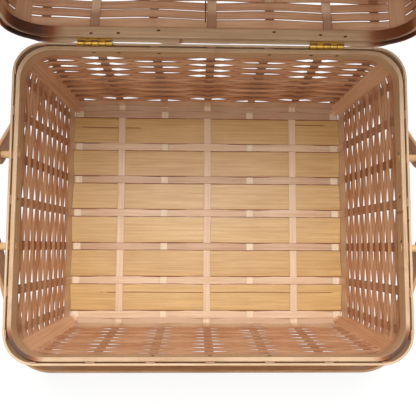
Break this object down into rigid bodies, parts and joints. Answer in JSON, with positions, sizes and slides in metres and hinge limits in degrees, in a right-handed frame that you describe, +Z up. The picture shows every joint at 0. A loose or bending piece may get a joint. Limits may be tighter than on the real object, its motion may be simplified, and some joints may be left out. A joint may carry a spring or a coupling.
{
  "type": "lidded pie basket",
  "caption": "Rectangular woven splint basket with a hinged woven lid and two bent-wood swing handles on dowel pegs.",
  "frame": {"origin": "centre of the whole object's footprint, on the surface that the basket stands on, with the lid open and both handles down", "axes": "+X to the right along the basket's length, +Y towards the hinged back, +Z up"},
  "size_m": [0.4326, 0.4064, 0.4823],
  "materials": {
    "slat": "satin planed bamboo, tan yellow",
    "splint": "matt sawn wood splint, pinkish tan",
    "weaver": "matt wood splint, warm brown",
    "hoop": "satin bent bamboo hoop, light tan",
    "handle": "satin bent wood, brown",
    "peg": "turned pale wood dowel",
    "brass": "polished brass plate"
  },
  "bodies": {
    "basket": {"base_slat_1": "slat", "base_slat_2": "slat", "base_slat_3": "slat", "base_slat_4": "slat", "base_slat_5": "slat", "base_slat_6": "slat", "long_splint_1": "splint", "long_splint_2": "splint", "long_splint_3": "splint", "long_splint_4": "splint", "long_splint_5": "splint", "long_splint_6": "splint", "long_splint_7": "splint", "cross_splint_1": "splint", "cross_splint_2": "splint", "cross_splint_3": "splint", "cross_splint_4": "splint", "cross_splint_5": "splint", "cross_splint_6": "splint", "cross_splint_7": "splint", "corner_strip_back_left": "splint", "corner_strip_back_right": "splint", "corner_strip_front_left": "splint", "corner_strip_front_right": "splint", "wide_bottom_band": "weaver", "wall_weaver_1": "weaver", "wall_weaver_2": "weaver", "wall_weaver_3": "weaver", "wall_weaver_4": "weaver", "wall_weaver_5": "weaver", "wall_weaver_6": "weaver", "wall_weaver_7": "weaver", "wall_weaver_8": "weaver", "wall_weaver_9": "weaver", "wall_weaver_10": "weaver", "wall_weaver_11": "weaver", "wall_weaver_12": "weaver", "wall_weaver_13": "weaver", "wall_weaver_14": "weaver", "wall_weaver_15": "weaver", "wall_weaver_16": "weaver", "wall_weaver_17": "weaver", "wall_weaver_18": "weaver", "wall_weaver_19": "weaver", "outer_hoop": "hoop", "inner_hoop": "hoop", "peg_front_left": "peg", "peg_front_right": "peg", "peg_rear_left": "peg", "peg_rear_right": "peg", "hinge_basket_leaf_left": "brass", "hinge_basket_leaf_right": "brass"},
    "lid": {"lid_outer_hoop": "hoop", "lid_inner_hoop": "hoop", "lid_weave": "weaver", "hinge_lid_leaf_left": "brass", "hinge_lid_leaf_right": "brass"},
    "front_handle": {"front_handle": "handle"},
    "rear_handle": {"rear_handle": "handle"}
  },
  "joints": [
    {"name": "lid_hinge", "type": "hinge", "parent": "basket", "child": "lid", "pos_m": [0, 0.14621, 0.1635], "axis": [1, 0, 0], "range_deg": [0, 90.4]},
    {"name": "front_handle_pivot", "type": "hinge", "parent": "basket", "child": "front_handle", "pos_m": [0, -0.05859, 0.154], "axis": [-1, 0, 0], "range_deg": [-11, 190]},
    {"name": "rear_handle_pivot", "type": "hinge", "parent": "basket", "child": "rear_handle", "pos_m": [0, 0.03341, 0.154], "axis": [1, 0, 0], "range_deg": [-1, 45.5]}
  ]
}
